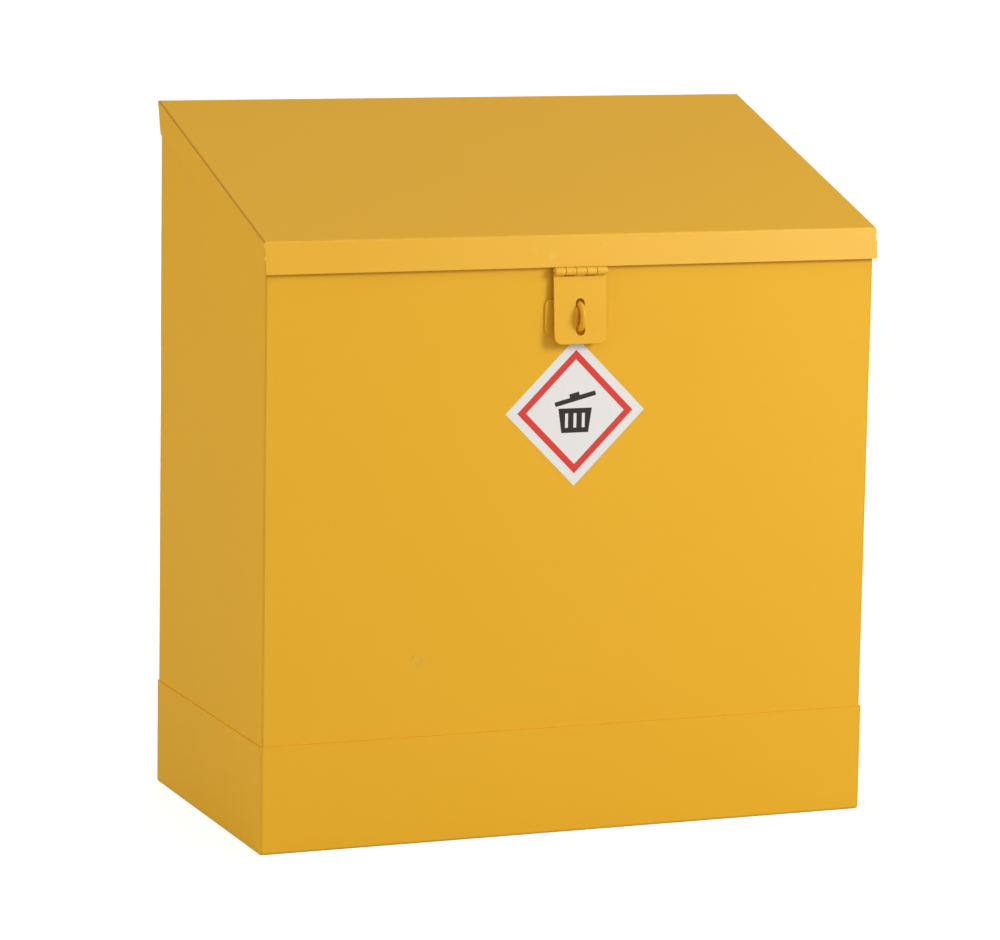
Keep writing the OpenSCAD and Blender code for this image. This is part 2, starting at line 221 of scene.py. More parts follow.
# colours are linear; rough and bump values are what a user would tune first
signSkin = {"patchScale": 250.0, "dustAmount": 0.05, "grainScale": 900.0, "bumpDepth": 0.015 * mm,
            "bump": 0.3, "roughLow": 0.30, "roughHigh": 0.42, "metallic": 0.0, "specular": 0.4}
# each finish's fold colour is painted shade for sideways folds and the plug mark's darker tone; its worn
# colour is worn paint on eased edges and painted highlight on cross folds and beads
finishes = {
    "yellowCoat": {
        "color": (0.86, 0.463, 0.018), "shade": (0.78, 0.394, 0.014),
        "fold": (0.60, 0.295, 0.010), "wornAndHighlight": (0.93, 0.60, 0.12),
        "dust": (0.55, 0.50, 0.40), "mottleScale": 2.6, "mottle": 0.35, "patchScale": 90.0,
        "wearAndPaintedLight": 0.35, "dustAmount": 0.05, "grainScale": 420.0, "bumpDepth": 0.035 * mm,
        "bump": 0.35, "roughLow": 0.31, "roughHigh": 0.40, "metallic": 0.0, "specular": 0.34,
    },
    "platedSteel": {
        "color": (0.62, 0.61, 0.58), "shade": (0.45, 0.44, 0.42),
        "fold": (0.5, 0.49, 0.47), "wornAndHighlight": (0.75, 0.74, 0.72),
        "dust": (0.40, 0.37, 0.32), "mottleScale": 120.0, "mottle": 0.6, "patchScale": 300.0,
        "wearAndPaintedLight": 0.4, "dustAmount": 0.1, "grainScale": 1500.0, "bumpDepth": 0.02 * mm,
        "bump": 0.4, "roughLow": 0.28, "roughHigh": 0.5, "metallic": 1.0, "specular": 0.5,
    },
    "bufferRubber": {
        "color": (0.030, 0.030, 0.031), "shade": (0.016, 0.016, 0.017),
        "fold": (0.02, 0.02, 0.02), "wornAndHighlight": (0.10, 0.10, 0.10),
        "dust": (0.30, 0.28, 0.25), "mottleScale": 60.0, "mottle": 0.7, "patchScale": 400.0,
        "wearAndPaintedLight": 0.5, "dustAmount": 0.25, "grainScale": 1800.0, "bumpDepth": 0.06 * mm,
        "bump": 0.6, "roughLow": 0.6, "roughHigh": 0.85, "metallic": 0.0, "specular": 0.4,
    },
    "signWhite": {
        "color": (0.83, 0.82, 0.80), "shade": (0.77, 0.765, 0.76),
        "fold": (0.7, 0.69, 0.67), "wornAndHighlight": (0.70, 0.68, 0.62),
        "dust": (0.60, 0.55, 0.45), "mottleScale": 30.0, "mottle": 0.35, "wearAndPaintedLight": 0.5,
        **signSkin,
    },
    "signRed": {
        "color": (0.76, 0.052, 0.036), "shade": (0.66, 0.042, 0.028),
        "fold": (0.5, 0.04, 0.025), "wornAndHighlight": (0.75, 0.20, 0.15),
        "dust": (0.60, 0.45, 0.38), "mottleScale": 45.0, "mottle": 0.4, "wearAndPaintedLight": 0.3,
        **signSkin,
    },
    "signBlack": {
        "color": (0.030, 0.026, 0.023), "shade": (0.045, 0.040, 0.036),
        "fold": (0.02, 0.02, 0.02), "wornAndHighlight": (0.12, 0.11, 0.10),
        "dust": (0.30, 0.28, 0.25), "mottleScale": 60.0, "mottle": 0.5, "wearAndPaintedLight": 0.3,
        **signSkin,
    },
}


def buildFinish(name, look):
    material = bpy.data.materials.new(name)
    material.use_nodes = True
    tree = material.node_tree
    shader = tree.nodes["Principled BSDF"]
    mottle = addEffect(tree, "mottle", {"Color": rgba(look["color"]), "Shade": rgba(look["shade"]),
                                        "Scale": look["mottleScale"], "Amount": look["mottle"]})
    wearAndPaintedLight = addEffect(tree, "wearAndPaintedLight", {"Color": mottle.outputs["Color"], "Fold Shade And Mark Color": rgba(look["fold"]),
                                    "Worn And Highlight Color": rgba(look["wornAndHighlight"]), "Scale": look["patchScale"],
                                    "Amount": look["wearAndPaintedLight"]})
    dust = addEffect(tree, "dust", {"Color": wearAndPaintedLight.outputs["Color"], "Dust Color": rgba(look["dust"]),
                                    "Amount": look["dustAmount"]})
    grain = addEffect(tree, "grain", {"Scale": look["grainScale"]})
    rough = addNode(tree, "ShaderNodeMapRange",
                    {"Value": grain.outputs["Mask"], "To Min": look["roughLow"],
                     "To Max": look["roughHigh"]})
    bump = addNode(tree, "ShaderNodeBump", {"Strength": look["bump"], "Distance": look["bumpDepth"],
                                            "Height": grain.outputs["Height"]})
    dulled = calc(tree, "ADD", rough.outputs[0], dust.outputs["Mask"])
    tree.links.new(dust.outputs["Color"], shader.inputs["Base Color"])
    tree.links.new(dulled, shader.inputs["Roughness"])
    tree.links.new(bump.outputs[0], shader.inputs["Normal"])
    shader.inputs["Metallic"].default_value = look["metallic"]
    shader.inputs["Specular IOR Level"].default_value = look["specular"]
    return material


finish = {name: buildFinish(name, look) for name, look in finishes.items()}
print("materials built")

# material slots that the bevels write to until a piece is settled
edgeSlot = 1
foldSlot = 2

meshing = {
    "merge": 0.002 * mm,  # vertices nearer than this become one
    "sliver": 0.001 * mm,  # edges shorter than this go
    "flat": 1,  # faces that turn by fewer degrees are joined
    "sideways": 0.1,  # how far a fold's normal leans to the side before it gets painted shade
    "foldSteps": 6,
    "foldAngle": 60,  # edges of a folded sheet that turn by more degrees are eased
    "easeSteps": 2,
    "easeLow": 0.05,  # a plate's faces that face up by a share between these are its rounded edge
    "easeHigh": 0.98,
}


def newPiece(name, mesh):
    piece = bpy.data.objects.new(name, mesh)
    bpy.context.scene.collection.objects.link(piece)
    return piece


def meshOf(name, points, faces, edges=()):
    mesh = bpy.data.meshes.new(name)
    mesh.from_pydata([tuple(p) for p in points], list(edges), faces)
    return mesh


# turns live modifiers into a plain mesh of one material; eased edges get the edge value for worn paint, and
# folds get painted shade where they turn sideways and a painted highlight where they run across
def settle(piece, material, moved=None, foldTint=0.0, foldShine=0.0):
    mesh = piece.data
    mesh.polygons.foreach_set("use_smooth", [True] * len(mesh.polygons))
    weighted = piece.modifiers.new("evenNormals", "WEIGHTED_NORMAL")
    weighted.keep_sharp = True
    bpy.context.view_layer.update()
    graph = bpy.context.evaluated_depsgraph_get()
    plain = bpy.data.meshes.new_from_object(piece.evaluated_get(graph), depsgraph=graph)
    piece.modifiers.clear()
    piece.data = plain
    bpy.data.meshes.remove(mesh)
    if "edge" not in plain.attributes:
        edges = []
        folds = []
        for face in plain.polygons:
            folded = face.material_index == foldSlot
            turned = abs(face.normal.x) > meshing["sideways"]
            foldHighlight = foldShine if folded and not turned else 0.0
            edges.append(1.0 if face.material_index == edgeSlot else foldHighlight)
            folds.append(foldTint if folded and turned else 0.0)
        plain.attributes.new("edge", "FLOAT", "FACE").data.foreach_set("value", edges)
        plain.attributes.new("fold", "FLOAT", "FACE").data.foreach_set("value", folds)
    if moved is not None:
        plain.transform(moved)
    plain.polygons.foreach_set("material_index", [0] * len(plain.polygons))
    plain.materials.clear()
    plain.materials.append(material)
    plain.name = piece.name
    return piece


def easeEdges(piece, width, angle=35):
    while len(piece.data.materials) < 2:
        piece.data.materials.append(finish["yellowCoat"])
    bevel = piece.modifiers.new("easedEdges", "BEVEL")
    bevel.width = width
    bevel.segments = meshing["easeSteps"]
    bevel.limit_method = "ANGLE"
    bevel.angle_limit = math.radians(angle)
    bevel.use_clamp_overlap = True
    bevel.material = edgeSlot


# a sheet folded from flat panels, with a bend radius for each folded edge
def foldSheet(name, corners, panels, bends, shape):
    names = list(corners)
    mesh = meshOf(name, corners.values(), [[names.index(n) for n in panel] for panel in panels])
    piece = newPiece(name, mesh)
    for _ in range(3):
        mesh.materials.append(finish["yellowCoat"])
    widest = max(bends.values())
    weights = mesh.attributes.new("bevel_weight_edge", "FLOAT", "EDGE").data
    ends = {frozenset(edge.vertices): edge.index for edge in mesh.edges}
    for pair, radius in bends.items():
        weights[ends[frozenset(names.index(n) for n in pair)]].value = radius / widest
    bend = piece.modifiers.new("bends", "BEVEL")
    bend.width = widest
    bend.segments = meshing["foldSteps"]
    bend.limit_method = "WEIGHT"
    bend.use_clamp_overlap = False
    bend.material = foldSlot
    wall = piece.modifiers.new("wall", "SOLIDIFY")
    wall.thickness = shape["sheet"]
    wall.offset = -1
    wall.use_even_offset = True
    easeEdges(piece, shape["ease"], meshing["foldAngle"])
    return settle(piece, finish["yellowCoat"], None, shape["foldTint"], shape.get("foldShine", 0.0))


# a copy of a CAD node with its doubles merged, its flat faces joined and its edges eased
def easedNode(node, width, material="yellowCoat"):
    source = frame["nodes"][node].data
    work = bmesh.new()
    work.from_mesh(source)
    bmesh.ops.remove_doubles(work, verts=work.verts, dist=meshing["merge"])
    flat = math.radians(meshing["flat"])
    bmesh.ops.dissolve_limit(work, angle_limit=flat, verts=work.verts, edges=work.edges)
    work.verts.index_update()
    points = [v.co.copy() for v in work.verts]
    faces = [[v.index for v in f.verts] for f in work.faces]
    work.free()
    piece = newPiece(node + "_piece", meshOf(node, points, faces))
    easeEdges(piece, width)
    settle(piece, finish[material])
    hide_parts(node)
    return piece


def arc(centre, radius, start, end, steps):
    turns = [math.radians(start + (end - start) * i / steps) for i in range(steps + 1)]
    return [(centre[0] + radius * math.cos(a), centre[1] + radius * math.sin(a)) for a in turns]


def roundedOutline(width, top, bottom, upperRadius, lowerRadius, steps=8):
    x = width / 2
    points = []
    for side, height, radius, start in ((1, top, upperRadius, 0), (-1, top, upperRadius, 90),
                                        (-1, bottom, lowerRadius, 180), (1, bottom, lowerRadius, 270)):
        inward = -radius if height == top else radius
        if radius:
            points += arc((side * (x - radius), height + inward), radius, start, start + 90, steps)
        else:
            points.append((side * x, height))
    return points


def slotOutline(width, low, high, steps=12):
    r = width / 2
    return arc((0, high - r), r, 0, 180, steps) + arc((0, low + r), r, 180, 360, steps)


# a plate cut to flat outlines, the first its edge and the rest its holes, with rounded edges
def cutPlate(name, outlines, thickness, ease):
    curve = bpy.data.curves.new(name, "CURVE")
    curve.dimensions = "2D"
    curve.fill_mode = "BOTH"
    curve.extrude = thickness / 2 - ease
    curve.bevel_depth = ease
    curve.bevel_resolution = meshing["easeSteps"]
    curve.offset = -ease
    for outline in outlines:
        spline = curve.splines.new("POLY")
        spline.points.add(len(outline) - 1)
        for point, (x, y) in zip(spline.points, outline):
            point.co = (x, y, 0, 1)
        spline.use_cyclic_u = True
    shape = newPiece(name, curve)
    bpy.context.view_layer.update()
    graph = bpy.context.evaluated_depsgraph_get()
    mesh = bpy.data.meshes.new_from_object(shape.evaluated_get(graph), depsgraph=graph)
    bpy.data.objects.remove(shape)
    bpy.data.curves.remove(curve)
    work = bmesh.new()
    work.from_mesh(mesh)
    bmesh.ops.remove_doubles(work, verts=work.verts, dist=meshing["merge"])
    bmesh.ops.dissolve_degenerate(work, edges=work.edges, dist=meshing["sliver"])
    bmesh.ops.recalc_face_normals(work, faces=work.faces)
    for face in work.faces:
        face.material_index = 0
        if meshing["easeLow"] < abs(face.normal.z) < meshing["easeHigh"]:
            face.material_index = edgeSlot
    work.to_mesh(mesh)
    work.free()
    return newPiece(name, mesh)


# joins finished meshes into the first piece, keeping each one's materials
def joinPieces(first, *others):
    work = bmesh.new()
    work.from_mesh(first.data)
    for piece in others:
        for material in piece.data.materials:
            if material.name not in first.data.materials:
                first.data.materials.append(material)
        slots = [first.data.materials.find(material.name) for material in piece.data.materials]
        indices = [slots[face.material_index] for face in piece.data.polygons]
        piece.data.polygons.foreach_set("material_index", indices)
        work.from_mesh(piece.data)
    work.to_mesh(first.data)
    work.free()
    for piece in others:
        mesh = piece.data
        bpy.data.objects.remove(piece)
        bpy.data.meshes.remove(mesh)
    return first


def prism(name, outline, width, x=0.0):
    count = len(outline)
    points = [(x + side * width / 2, y, z) for side in (-1, 1) for y, z in outline]
    sides = [[i, (i + 1) % count, count + (i + 1) % count, count + i] for i in range(count)]
    caps = [list(range(count))[::-1], list(range(count, 2 * count))]
    mesh = meshOf(name, points, sides + caps)
    work = bmesh.new()
    work.from_mesh(mesh)
    bmesh.ops.recalc_face_normals(work, faces=work.faces)
    work.to_mesh(mesh)
    work.free()
    return newPiece(name, mesh)


# ends a tree: copies are made real and the material is set
def endTree(tree, last, given, result):
    real = addNode(tree, "GeometryNodeRealizeInstances", {0: last.outputs[0]})
    painted = addNode(tree, "GeometryNodeSetMaterial",
                      {"Geometry": real.outputs[0], "Material": given["Material"]})
    tree.links.new(painted.outputs[0], result[0])
    return tree


# a row of hinge knuckles, each a barrel with eased ends and the strap that wraps it
def buildKnuckleTree():
    tree, given, result = newGeometryTree("knuckleRow", [
        ("Count", "Int", 3), ("Pitch", "Float", 0.01), ("Begin", "Float", 0.0),
        ("Length", "Float", 0.01), ("Radius", "Float", 0.005), ("Ease", "Float", 0.0005),
        ("Strap Depth", "Float", 0.0), ("Strap Thickness", "Float", 0.003),
        ("Strap Height", "Float", 0.005)])
    half = calc(tree, "MULTIPLY", given["Length"], 0.5)
    line = addNode(tree, "GeometryNodeCurvePrimitiveLine",
                   {"Start": vector(tree, -1.0), "End": vector(tree, 1.0)})
    rings = addNode(tree, "GeometryNodeResampleCurve", {"Curve": line.outputs[0], "Count": 12})
    along = addNode(tree, "ShaderNodeSeparateXYZ",
                    {0: addNode(tree, "GeometryNodeInputPosition").outputs[0]}).outputs[0]
    rest = calc(tree, "POWER", calc(tree, "SUBTRACT", 1.0, calc(tree, "ABSOLUTE", along)), 3.0)
    spread = calc(tree, "MULTIPLY", calc(tree, "SIGN", along), calc(tree, "SUBTRACT", 1.0, rest))
    moved = addNode(tree, "GeometryNodeSetPosition",
                    {"Geometry": rings.outputs[0],
                     "Position": vector(tree, calc(tree, "MULTIPLY", spread, half))})
    inset = calc(tree, "SUBTRACT", half, calc(tree, "ABSOLUTE", along))
    short = calc(tree, "MAXIMUM", calc(tree, "SUBTRACT", given["Ease"], inset), 0.0)
    rise = calc(tree, "SUBTRACT", calc(tree, "MULTIPLY", given["Ease"], given["Ease"]),
                calc(tree, "MULTIPLY", short, short))
    radius = calc(tree, "ADD", calc(tree, "SUBTRACT", given["Radius"], given["Ease"]),
                  calc(tree, "SQRT", calc(tree, "MAXIMUM", rise, 0.0)))
    ring = addNode(tree, "GeometryNodeCurvePrimitiveCircle", {"Resolution": 40, "Radius": 1.0})
    barrel = addNode(tree, "GeometryNodeCurveToMesh",
                     {"Curve": moved.outputs[0], "Profile Curve": ring.outputs[0], "Scale": radius,
                      "Fill Caps": True})
    strap = addNode(tree, "GeometryNodeMeshCube",
                    {"Size": vector(tree, given["Length"], given["Strap Thickness"],
                                    given["Strap Height"])})
    low = calc(tree, "MULTIPLY", given["Strap Height"], -0.5)
    hung = addNode(tree, "GeometryNodeTransform",
                   {"Geometry": strap.outputs[0],
                    "Translation": vector(tree, 0.0, given["Strap Depth"], low)})
    both = addNode(tree, "GeometryNodeJoinGeometry", {0: barrel.outputs[0]})
    tree.links.new(hung.outputs[0], both.inputs[0])
    row = addNode(tree, "GeometryNodeMeshLine",
                  {"Count": given["Count"], "Start Location": vector(tree, given["Begin"]),
                   "Offset": vector(tree, given["Pitch"])})
    copies = addNode(tree, "GeometryNodeInstanceOnPoints",
                     {"Points": row.outputs[0], "Instance": both.outputs[0]})
    return endTree(tree, copies, given, result)


# a round rod swept along a path
def buildRodTree():
    tree, given, result = newGeometryTree("bentRod", [("Radius", "Float", 0.004)])
    path = addNode(tree, "GeometryNodeMeshToCurve", {0: given["Geometry"]})
    ring = addNode(tree, "GeometryNodeCurvePrimitiveCircle", {"Resolution": 24, "Radius": given["Radius"]})
    rod = addNode(tree, "GeometryNodeCurveToMesh",
                  {"Curve": path.outputs[0], "Profile Curve": ring.outputs[0], "Fill Caps": True})
    return endTree(tree, rod, given, result)


# a ripple's length over its step, and the least and most scale of its length, width and height
ripples = {"overlap": 1.25, "least": (0.9, 0.8, 0.75), "most": (1.15, 1.1, 1.1)}


# a weld bead laid along a path as a run of overlapping ripples
def buildBeadTree():
    tree, given, result = newGeometryTree("weldBead", [
        ("Step", "Float", 0.0015), ("Width", "Float", 0.003), ("Height", "Float", 0.001),
        ("Seed", "Int", 4)])
    path = addNode(tree, "GeometryNodeMeshToCurve", {0: given["Geometry"]})
    spots = addNode(tree, "GeometryNodeCurveToPoints", {"Curve": path.outputs[0], "Length": given["Step"]},
                    mode="LENGTH")
    turn = addNode(tree, "FunctionNodeAlignRotationToVector", {"Vector": spots.outputs["Tangent"]}, axis="X")
    long = calc(tree, "MULTIPLY", given["Step"], ripples["overlap"])
    ripple = addNode(tree, "GeometryNodeMeshUVSphere", {"Segments": 10, "Rings": 6, "Radius": 1.0})
    shaped = addNode(tree, "GeometryNodeTransform", {
        "Geometry": ripple.outputs[0],
        "Scale": vector(tree, long, calc(tree, "MULTIPLY", given["Width"], 0.5), given["Height"])})
    vary = addNode(tree, "FunctionNodeRandomValue", {"Seed": given["Seed"]}, data_type="FLOAT_VECTOR")
    vary.inputs[0].default_value = ripples["least"]
    vary.inputs[1].default_value = ripples["most"]
    copies = addNode(tree, "GeometryNodeInstanceOnPoints",
                     {"Points": spots.outputs[0], "Instance": shaped.outputs[0],
                      "Rotation": turn.outputs[0], "Scale": vary.outputs[0]})
    return endTree(tree, copies, given, result)


# spot welds: one low blister at each point, turned to the point's facing and sunk so that its rim fades
def buildSpotTree():
    tree, given, result = newGeometryTree("spotWelds", [
        ("Radius", "Float", 0.003), ("Height", "Float", 0.0002), ("Sink", "Float", 0.7)])
    facing = addNode(tree, "GeometryNodeInputNamedAttribute", {"Name": "facing"}, data_type="FLOAT_VECTOR")
    turn = addNode(tree, "FunctionNodeAlignRotationToVector", {"Vector": facing.outputs[0]}, axis="Z")
    dome = addNode(tree, "GeometryNodeMeshUVSphere", {"Segments": 28, "Rings": 20, "Radius": 1.0})
    sunk = calc(tree, "MULTIPLY", calc(tree, "MULTIPLY", given["Height"], given["Sink"]), -1.0)
    shaped = addNode(tree, "GeometryNodeTransform", {
        "Geometry": dome.outputs[0], "Translation": vector(tree, 0.0, 0.0, sunk),
        "Scale": vector(tree, given["Radius"], given["Radius"], given["Height"])})
    copies = addNode(tree, "GeometryNodeInstanceOnPoints",
                     {"Points": given["Geometry"], "Instance": shaped.outputs[0],
                      "Rotation": turn.outputs[0]})
    return endTree(tree, copies, given, result)


trees = {"knuckles": buildKnuckleTree(), "rod": buildRodTree(), "bead": buildBeadTree(),
         "spots": buildSpotTree()}


def setFaces(piece, label, value):
    values = [value] * len(piece.data.polygons)
    piece.data.attributes[label].data.foreach_set("value", values)


# runs a tree on a host mesh and leaves a plain mesh
def grow(name, kind, mesh, values, moved=None, material="yellowCoat"):
    piece = newPiece(name, mesh)
    modifier = piece.modifiers.new(kind, "NODES")
    modifier.node_group = trees[kind]
    values = {**values, "Material": finish[material]}
    for item in trees[kind].interface.items_tree:
        if item.in_out == "INPUT" and item.name in values:
            modifier[item.identifier] = values[item.name]
    settle(piece, finish[material], moved)
    # weld beads take the lighter patches in full, partly as worn paint and partly as painted highlight
    if kind == "bead":
        setFaces(piece, "edge", 1.0)
    return piece


def pathMesh(name, paths, closed=False):
    points = []
    edges = []
    for path in paths:
        start = len(points)
        points += path
        edges += [(start + i, start + i + 1) for i in range(len(path) - 1)]
        if closed:
            edges.append((len(points) - 1, start))
    return meshOf(name, points, [], edges)


# points for spot welds, each with the direction that it faces
def spotMesh(name, points, facing):
    mesh = meshOf(name, points, [])
    directions = list(facing) * len(points)
    mesh.attributes.new("facing", "FLOAT_VECTOR", "POINT").data.foreach_set("vector", directions)
    return mesh


print("helpers ready")

# the tray's fold value paints shade along its bends that face sideways
trayShape = {"sheet": 2.5 * mm, "bottomBend": 4 * mm, "cornerBend": 4.5 * mm, "ease": 0.5 * mm,
             "foldTint": 0.25, "beadLength": 7 * mm, "beadStep": 1.2 * mm, "beadWidth": 2 * mm,
             "beadHeight": 0.7 * mm, "beadSink": 1.5 * mm}


def makeTray():
    low, high = trayLow, trayHigh
    corners = {}
    for yName, y in (("f", low.y), ("b", high.y)):
        for xName, x in (("l", low.x), ("r", high.x)):
            for zName, z in (("0", low.z), ("1", high.z)):
                corners[yName + xName + zName] = Vector((x, y, z))
    panels = [("fl0", "bl0", "br0", "fr0"), ("fl0", "fr0", "fr1", "fl1"), ("br0", "bl0", "bl1", "br1"),
              ("bl0", "fl0", "fl1", "bl1"), ("fr0", "br0", "br1", "fr1")]
    bends = {}
    for a, b in (("fl", "fr"), ("bl", "br"), ("fl", "bl"), ("fr", "br")):
        bends[(a + "0", b + "0")] = trayShape["bottomBend"]
    for corner in ("fl", "fr", "bl", "br"):
        bends[(corner + "0", corner + "1")] = trayShape["cornerBend"]
    tray = foldSheet("sumpTray", corners, panels, bends, trayShape)
    paths = []
    for x, y in ((low.x, low.y), (high.x, low.y), (low.x, high.y), (high.x, high.y)):
        outward = Vector((math.copysign(1, x), math.copysign(1, y), 0))
        top = Vector((x, y, high.z - trayShape["ease"])) - outward * trayShape["beadSink"]
        paths.append([top, top - Vector((0, 0, trayShape["beadLength"]))])
    beads = grow("trayBeads", "bead", pathMesh("trayBeads", paths), {
        "Step": trayShape["beadStep"], "Width": trayShape["beadWidth"], "Height": trayShape["beadHeight"]})
    joinPieces(tray, beads)
    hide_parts("sump_tray")
    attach(tray, "bin")


makeTray()

# the wall's fold value paints shade along its upright bends; the plug value gives the plug mark a darker
# tone
wallShape = {"sheet": 1.5 * mm, "bend": 2.8 * mm, "panelBend": 3 * mm, "panelFlange": 15 * mm,
             "ease": 0.3 * mm, "foldTint": 0.45, "rimGap": 2.1 * mm, "plugRadius": 14 * mm,
             "plugHeight": 0.1 * mm, "plugTint": 0.27, "plugPlace": (-228 * mm, 256 * mm),
             "beadStep": 1.5 * mm, "beadWidth": 4.6 * mm, "beadHeight": 0.9 * mm, "beadSink": 0.5 * mm,
             "beadInset": 1 * mm, "beadSeed": 9}
mouthDrop = (lidShape["sheet"] + wallShape["rimGap"]) / math.cos(slope)


def mouth(y):
    return lidTop(y) - mouthDrop


# welds that close the gap between a cross rim's ends and the sheet beside them
def rimWelds(name, rim, sheetX):
    low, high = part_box(rim)
    inset = wallShape["beadInset"]
    paths = []
    for side in (-1, 1):
        x = side * (high.x + sheetX) / 2
        paths.append([(x, y, mouth(y) - wallShape["beadSink"]) for y in (low.y + inset, high.y - inset)])
    return grow(name, "bead", pathMesh(name, paths), {
        "Step": wallShape["beadStep"], "Width": wallShape["beadWidth"], "Height": wallShape["beadHeight"],
        "Seed": wallShape["beadSeed"]})


# corners of an upright sheet from its foot to the sloping mouth, named by side, depth and level
def wallCorners(halfX, nearY):
    corners = {}
    for side, x in (("l", -halfX), ("r", halfX)):
        for depth, y in (("f", nearY), ("b", backY)):
            corners[side + depth + "0"] = Vector((x, y, wallLow.z))
            corners[side + depth + "1"] = Vector((x, y, mouth(y)))
    return corners


def makeWalls():
    inner = halfWidth - wallShape["sheet"]
    corners = wallCorners(halfWidth, frontY)
    panels = [("lf0", "rf0", "rf1", "lf1"), ("lb0", "lf0", "lf1", "lb1"), ("rf0", "rb0", "rb1", "rf1")]
    bends = {("lf0", "lf1"): wallShape["bend"], ("rf0", "rf1"): wallShape["bend"]}
    wrap = foldSheet("bodyWrap", corners, panels, bends, wallShape)
    plugX, plugZ = wallShape["plugPlace"]
    plug = grow("wallPlug", "spots", spotMesh("wallPlug", [(plugX, frontY, plugZ)], (0, -1, 0)), {
        "Radius": wallShape["plugRadius"], "Height": wallShape["plugHeight"]})
    setFaces(plug, "fold", wallShape["plugTint"])
    joinPieces(wrap, plug, rimWelds("frontRimWelds", "front_rim", inner))
    corners = wallCorners(inner, backY - wallShape["panelFlange"])
    panels = [("rb0", "lb0", "lb1", "rb1"), ("lb0", "lf0", "lf1", "lb1"), ("rf0", "rb0", "rb1", "rf1")]
    bends = {("lb0", "lb1"): wallShape["panelBend"], ("rb0", "rb1"): wallShape["panelBend"]}
    panel = foldSheet("backPanel", corners, panels, bends, wallShape)
    joinPieces(panel, rimWelds("rearRimWelds", "rear_rim", inner - wallShape["sheet"]))
    for piece, node in ((wrap, "body_wrap"), (panel, "back_panel")):
        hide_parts(node)
        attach(piece, "bin")


makeWalls()

trimShape = {"steelEase": 0.35 * mm, "rubberEase": 0.6 * mm}
trimNodes = ("front_rim", "rear_rim", "left_rim", "right_rim", "left_lid_brace", "right_lid_brace",
             "lid_buffers")
braceShape = {"spotSide": 15.5 * mm, "spotCount": 7, "spotRadius": 4.5 * mm, "spotHeight": 0.8 * mm,
              "sheet": 1.2 * mm, "frontGap": 48 * mm, "rearGap": 62 * mm}


# two rows of spot welds along a lid brace's flanges
def braceSpots(node):
    shape = braceShape
    low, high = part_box(node)
    middle = (low.x + high.x) / 2
    begin = shape["frontGap"] + lidShape["frontOut"]
    end = lidRear.y - lidShape["rearOut"] - shape["rearGap"] - lidFront.y
    points = []
    for i in range(shape["spotCount"]):
        along = (begin + (end - begin) * (i + 0.5) / shape["spotCount"]) / math.cos(slope)
        under = lidFront + lidRun * along + lidDown * (lidShape["sheet"] + shape["sheet"])
        points += [under + Vector((middle + side * shape["spotSide"], 0, 0)) for side in (-1, 1)]
    return grow(node + "_spots", "spots", spotMesh(node + "_spots", points, lidDown), {
        "Radius": shape["spotRadius"], "Height": shape["spotHeight"]})


def makeTrim():
    for node in trimNodes:
        rubber = node == "lid_buffers"
        width = trimShape["rubberEase" if rubber else "steelEase"]
        piece = easedNode(node, width, "bufferRubber" if rubber else "yellowCoat")
        if "brace" in node:
            joinPieces(piece, braceSpots(node))
        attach(piece, "lid" if "brace" in node else "bin")


makeTrim()


def makeLid():
    shape = lidShape
    half = lidHigh.x
    run = shape["lipEndLean"] + shape["lipEndCut"]
    footEnd = lidRear.y - run
    side = {
        "top0": lidFront,
        "top1": lidRear,
        "lip0": lidFront + Vector((0, -shape["lipSplay"], -shape["lipHeight"])),
        "lip1": Vector((0, footEnd, lidTop(footEnd) - shape["lipHeight"])),
        "lip2": Vector((0, lidRear.y - shape["lipEndLean"], lidRear.z - shape["lipEnd"])),
        "flange": lidRear + lidDown * shape["rearFlange"],
    }
    corners = {}
    for name, x in (("l_", -half), ("r_", half)):
        for point, spot in side.items():
            corners[name + point] = spot + Vector((x, 0, 0))
    panels = [("l_top0", "r_top0", "r_top1", "l_top1"), ("l_lip0", "r_lip0", "r_top0", "l_top0"),
              ("l_top1", "r_top1", "r_flange", "l_flange"),
              ("l_top0", "l_top1", "l_lip2", "l_lip1", "l_lip0"),
              ("r_top0", "r_lip0", "r_lip1", "r_lip2", "r_top1")]
    bends = {("l_top0", "l_top1"): shape["sideBend"], ("r_top0", "r_top1"): shape["sideBend"],
             ("l_top0", "r_top0"): shape["frontBend"], ("l_top1", "r_top1"): shape["rearBend"],
             ("l_top0", "l_lip0"): shape["cornerWeld"], ("r_top0", "r_lip0"): shape["cornerWeld"]}
    shell = foldSheet("lidShell", corners, panels, bends, shape)
    lipRun = (side["lip0"] - side["top0"]).normalized()
    lipOut = Vector((0, lipRun.z, -lipRun.y))
    paths = []
    for x in (-half, half):
        inward = (Vector((-math.copysign(1, x), 0, 0)) - lipOut) * shape["beadSink"]
        for span in shape["beadSpans"]:
            paths.append([lidFront + Vector((x, 0, 0)) + inward + lipRun * along for along in span])
    beads = grow("lipBeads", "bead", pathMesh("lipBeads", paths), {
        "Step": shape["beadStep"], "Width": shape["beadWidth"], "Height": shape["beadHeight"],
        "Seed": shape["beadSeed"]})
    marks = [lidFront + lipRun * drop + Vector((x, 0, 0)) for x, drop in shape["marks"]]
    spots = grow("lipMarks", "spots", spotMesh("lipMarks", marks, lipOut), {
        "Radius": shape["markRadius"], "Height": shape["markHeight"]})
    # a painted glint on the lid's corner beads, well past the full value of worn paint
    setFaces(beads, "edge", shape["beadShine"])
    joinPieces(shell, beads, spots)
    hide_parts("lid_shell")
    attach(shell, "lid")


makeLid()
print("sheet metal folded")

